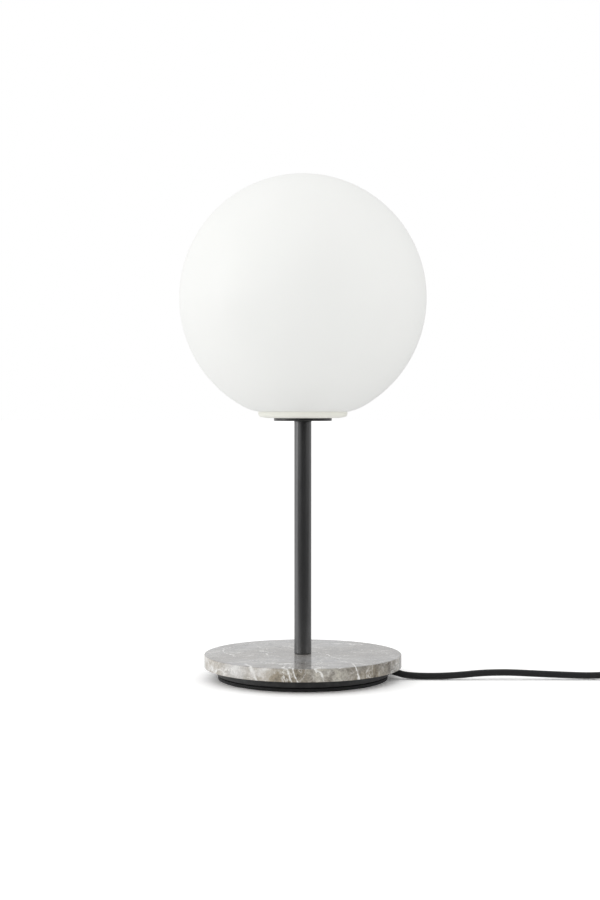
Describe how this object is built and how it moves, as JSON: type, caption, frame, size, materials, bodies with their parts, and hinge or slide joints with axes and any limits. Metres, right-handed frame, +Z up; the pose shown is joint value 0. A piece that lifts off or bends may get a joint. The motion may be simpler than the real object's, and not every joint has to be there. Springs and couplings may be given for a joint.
{
  "type": "globe table lamp",
  "caption": "Table lamp with an opal glass globe screwed onto a slim dark stem over a marble disc, with a textile cord, inline switch and flat plug.",
  "frame": {"origin": "on the floor under the stem's axis", "axes": "+Z up the stem, -Y towards the lamp's front, +X to the side where the cord leaves"},
  "size_m": [0.5562, 0.2122, 0.408],
  "materials": {
    "foot_rubber": "matt black rubber",
    "base_steel": "satin black paint on steel",
    "grey_marble": "polished grey marble with white veins",
    "stem_metal": "satin charcoal",
    "zinc_steel": "zinc plated",
    "contact_brass": "plain brass",
    "cap_metal": "nickel plated",
    "pin_metal": "nickel plated",
    "holder_plastic": "black phenolic",
    "insert_ceramic": "unglazed white",
    "opal_glass": "satin opal white",
    "collar_plastic": "satin white",
    "white_silicone": "translucent white silicone",
    "board_laminate": "green solder mask",
    "driver_plastic": "black component cases",
    "sink_aluminium": "plain aluminium",
    "chip_phosphor": "yellow phosphor",
    "wire_white": "white insulation",
    "wire_brown": "brown insulation",
    "wire_blue": "blue insulation",
    "cord_textile": "black woven sleeve",
    "switch_plastic": "satin black",
    "plug_plastic": "satin black"
  },
  "bodies": {
    "stand": {"foot_pad": "foot_rubber", "base_plate": "base_steel", "marble_disc": "grey_marble", "base_nipple": "zinc_steel", "base_washer": "zinc_steel", "base_nut": "zinc_steel", "stem_gasket": "foot_rubber", "stem_tube": "stem_metal", "cord_gland": "foot_rubber", "cord_clamp": "zinc_steel", "clamp_screws": "zinc_steel", "cord_inner": "cord_textile", "lead_live": "wire_brown", "lead_neutral": "wire_blue", "holder_cup": "stem_metal", "top_nipple": "zinc_steel", "lock_nut": "zinc_steel", "holder_cap": "holder_plastic", "set_screw": "zinc_steel", "holder_body": "holder_plastic", "holder_insert": "insert_ceramic", "centre_contact": "contact_brass", "screw_shell": "contact_brass", "side_contact": "contact_brass", "terminals": "contact_brass", "terminal_screws": "zinc_steel", "switch_bottom_shell": "switch_plastic", "switch_top_shell": "switch_plastic", "switch_screws": "zinc_steel", "switch_contacts": "contact_brass", "switch_bridge": "contact_brass", "cord_run": "cord_textile", "cord_link": "cord_textile", "cord_coil": "cord_textile", "cord_tail": "cord_textile", "plug_body": "plug_plastic", "plug_pins": "pin_metal", "plug_relief": "plug_plastic"},
    "seat": {"seat_ring": "white_silicone"},
    "globe": {"glass_globe": "opal_glass", "globe_collar": "collar_plastic", "globe_seal": "white_silicone", "cap_shell": "cap_metal", "cap_insulator": "holder_plastic", "cap_contact": "cap_metal", "driver_board": "board_laminate", "driver_parts": "driver_plastic", "heat_sink": "sink_aluminium", "led_board": "sink_aluminium", "led_screws": "zinc_steel", "led_chips": "chip_phosphor", "engine_leads": "wire_white"},
    "rocker": {"switch_rocker": "switch_plastic"}
  },
  "joints": [
    {"name": "globe_rise", "type": "slide", "parent": "stand", "child": "seat", "axis": [0, 0, 1], "range_m": [0, 0.01816]},
    {"name": "globe_turn", "type": "hinge", "parent": "seat", "child": "globe", "pos_m": [0, 0, 0.2335], "axis": [0, 0, 1], "range_deg": [0, 1800]},
    {"name": "rocker_tilt", "type": "hinge", "parent": "stand", "child": "rocker", "pos_m": [0.311, -0.01, 0.012], "axis": [0, 1, 0], "range_deg": [0, 14]}
  ],
  "couplings": [
    {"joint": "globe_rise", "follows": "globe_turn", "m_per_rad": 0.00057757}
  ]
}
